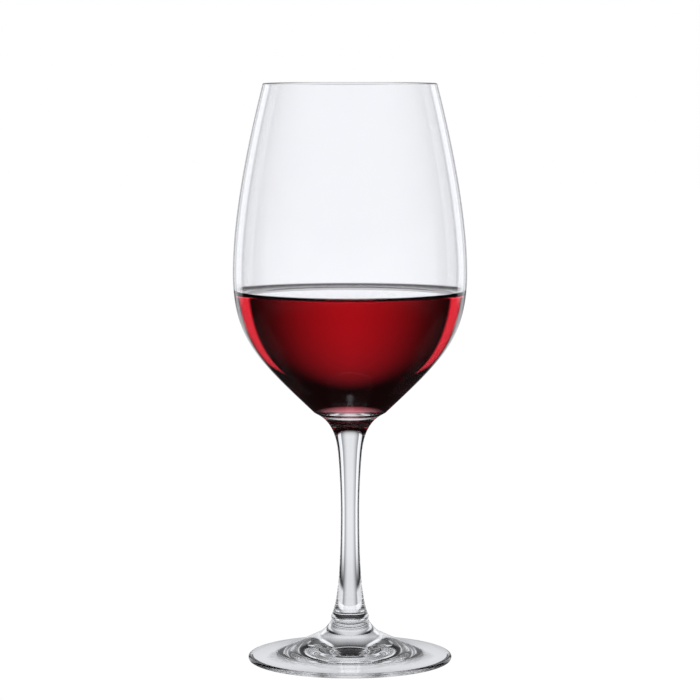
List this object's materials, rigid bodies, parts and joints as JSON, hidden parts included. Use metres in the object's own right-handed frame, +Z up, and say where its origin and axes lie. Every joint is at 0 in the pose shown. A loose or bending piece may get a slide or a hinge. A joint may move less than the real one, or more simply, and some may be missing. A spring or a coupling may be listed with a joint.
{
  "type": "wine glass",
  "caption": "Stemmed wine glass: a tall tulip bowl that narrows to the lip, a slim flared stem, a round shallow foot, and a pour of red wine.",
  "frame": {"origin": "middle of the plane that the foot stands on", "axes": "+Z up along the glass's axis from the foot to the lip; X and Y are any two level directions, because the glass is turned about Z"},
  "size_m": [0.0908, 0.0908, 0.225],
  "materials": {
    "clear_glass": "clear, fire polished",
    "red_wine": "clear dark red liquid"
  },
  "bodies": {
    "root": {"bowl": "clear_glass", "stem": "clear_glass", "foot": "clear_glass", "red_wine": "red_wine"}
  },
  "joints": []
}
